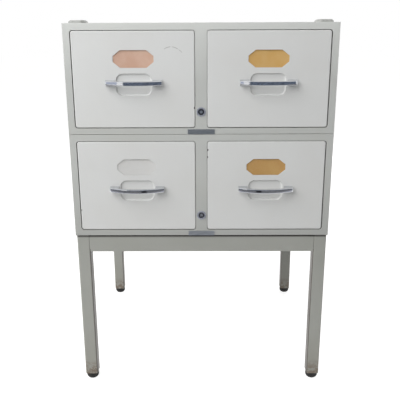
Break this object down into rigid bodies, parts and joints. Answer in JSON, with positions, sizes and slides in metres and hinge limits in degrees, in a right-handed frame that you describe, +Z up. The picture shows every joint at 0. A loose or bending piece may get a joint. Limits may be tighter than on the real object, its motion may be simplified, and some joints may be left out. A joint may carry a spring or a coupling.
{
  "type": "steel card drawer cabinet",
  "caption": "Small steel card-index cabinet: stacked modules of inset drawers with bow handles and a central lock, on an open four-legged stand.",
  "frame": {"origin": "on the floor, at the middle of the overall box (casing plus handles)", "axes": "+Z up, the drawer fronts face -Y, +X to the right when the fronts are seen"},
  "size_m": [0.55, 0.525, 0.809],
  "materials": {
    "casing_paint": "semi-gloss warm grey stove enamel, lightly worn",
    "drawer_paint": "semi-gloss off-white stove enamel with small chips",
    "stand_paint": "semi-gloss grey stove enamel, scuffed and lightly rusted near the feet",
    "chrome": "polished chrome plate with light wear",
    "badge_aluminium": "satin aluminium, bare",
    "zinc_steel": "zinc-plated pressed steel",
    "foot_rubber": "black moulded rubber",
    "card_upper_left": "faded salmon card",
    "card_upper_right": "ochre card",
    "card_lower_left": "white card",
    "card_lower_right": "ochre card, a little darker"
  },
  "bodies": {
    "cabinet": {"casing_lower": "casing_paint", "front_frame_lower": "casing_paint", "back_panel_lower": "casing_paint", "base_panel_lower": "casing_paint", "partition_lower": "casing_paint", "stacking_pads_lower": "casing_paint", "badge_plate_lower": "badge_aluminium", "slide_channels_lower": "zinc_steel", "slide_posts_lower": "zinc_steel", "lock_body_lower": "chrome", "casing_upper": "casing_paint", "front_frame_upper": "casing_paint", "back_panel_upper": "casing_paint", "base_panel_upper": "casing_paint", "partition_upper": "casing_paint", "stacking_pads_upper": "casing_paint", "badge_plate_upper": "badge_aluminium", "slide_channels_upper": "zinc_steel", "slide_posts_upper": "zinc_steel", "lock_body_upper": "chrome", "leg_front_left": "stand_paint", "foot_front_left": "foot_rubber", "leg_front_right": "stand_paint", "foot_front_right": "foot_rubber", "leg_rear_left": "stand_paint", "foot_rear_left": "foot_rubber", "leg_rear_right": "stand_paint", "foot_rear_right": "foot_rubber", "stand_rails": "stand_paint"},
    "drawer_lower_left": {"front_panel_lower_left": "drawer_paint", "front_liner_lower_left": "drawer_paint", "label_card_lower_left": "card_lower_left", "handle_lower_left": "chrome", "tray_lower_left": "casing_paint", "tray_fittings_lower_left": "zinc_steel"},
    "slide_lower_left": {"slide_middles_lower_left": "zinc_steel"},
    "drawer_lower_right": {"front_panel_lower_right": "drawer_paint", "front_liner_lower_right": "drawer_paint", "label_card_lower_right": "card_lower_right", "handle_lower_right": "chrome", "tray_lower_right": "casing_paint", "tray_fittings_lower_right": "zinc_steel"},
    "slide_lower_right": {"slide_middles_lower_right": "zinc_steel"},
    "drawer_upper_left": {"front_panel_upper_left": "drawer_paint", "front_liner_upper_left": "drawer_paint", "label_card_upper_left": "card_upper_left", "handle_upper_left": "chrome", "tray_upper_left": "casing_paint", "tray_fittings_upper_left": "zinc_steel"},
    "slide_upper_left": {"slide_middles_upper_left": "zinc_steel"},
    "drawer_upper_right": {"front_panel_upper_right": "drawer_paint", "front_liner_upper_right": "drawer_paint", "label_card_upper_right": "card_upper_right", "handle_upper_right": "chrome", "tray_upper_right": "casing_paint", "tray_fittings_upper_right": "zinc_steel"},
    "slide_upper_right": {"slide_middles_upper_right": "zinc_steel"},
    "lock_lower": {"lock_plug_lower": "chrome"},
    "lock_upper": {"lock_plug_upper": "chrome"}
  },
  "joints": [
    {"name": "drawer_lower_left_slide", "type": "slide", "parent": "cabinet", "child": "drawer_lower_left", "axis": [0, -1, 0], "range_m": [0, 0.42]},
    {"name": "slide_lower_left_travel", "type": "slide", "parent": "cabinet", "child": "slide_lower_left", "axis": [0, -1, 0], "range_m": [0, 0.21]},
    {"name": "drawer_lower_right_slide", "type": "slide", "parent": "cabinet", "child": "drawer_lower_right", "axis": [0, -1, 0], "range_m": [0, 0.42]},
    {"name": "slide_lower_right_travel", "type": "slide", "parent": "cabinet", "child": "slide_lower_right", "axis": [0, -1, 0], "range_m": [0, 0.21]},
    {"name": "drawer_upper_left_slide", "type": "slide", "parent": "cabinet", "child": "drawer_upper_left", "axis": [0, -1, 0], "range_m": [0, 0.42]},
    {"name": "slide_upper_left_travel", "type": "slide", "parent": "cabinet", "child": "slide_upper_left", "axis": [0, -1, 0], "range_m": [0, 0.21]},
    {"name": "drawer_upper_right_slide", "type": "slide", "parent": "cabinet", "child": "drawer_upper_right", "axis": [0, -1, 0], "range_m": [0, 0.42]},
    {"name": "slide_upper_right_travel", "type": "slide", "parent": "cabinet", "child": "slide_upper_right", "axis": [0, -1, 0], "range_m": [0, 0.21]},
    {"name": "lock_lower_turn", "type": "hinge", "parent": "cabinet", "child": "lock_lower", "pos_m": [0, -0.2375, 0.4055], "axis": [0, 1, 0], "range_deg": [0, 90]},
    {"name": "lock_upper_turn", "type": "hinge", "parent": "cabinet", "child": "lock_upper", "pos_m": [0, -0.2375, 0.6275], "axis": [0, 1, 0], "range_deg": [0, 90]}
  ],
  "couplings": [
    {"joint": "slide_lower_left_travel", "follows": "drawer_lower_left_slide", "ratio": 0.5},
    {"joint": "slide_lower_right_travel", "follows": "drawer_lower_right_slide", "ratio": 0.5},
    {"joint": "slide_upper_left_travel", "follows": "drawer_upper_left_slide", "ratio": 0.5},
    {"joint": "slide_upper_right_travel", "follows": "drawer_upper_right_slide", "ratio": 0.5}
  ]
}
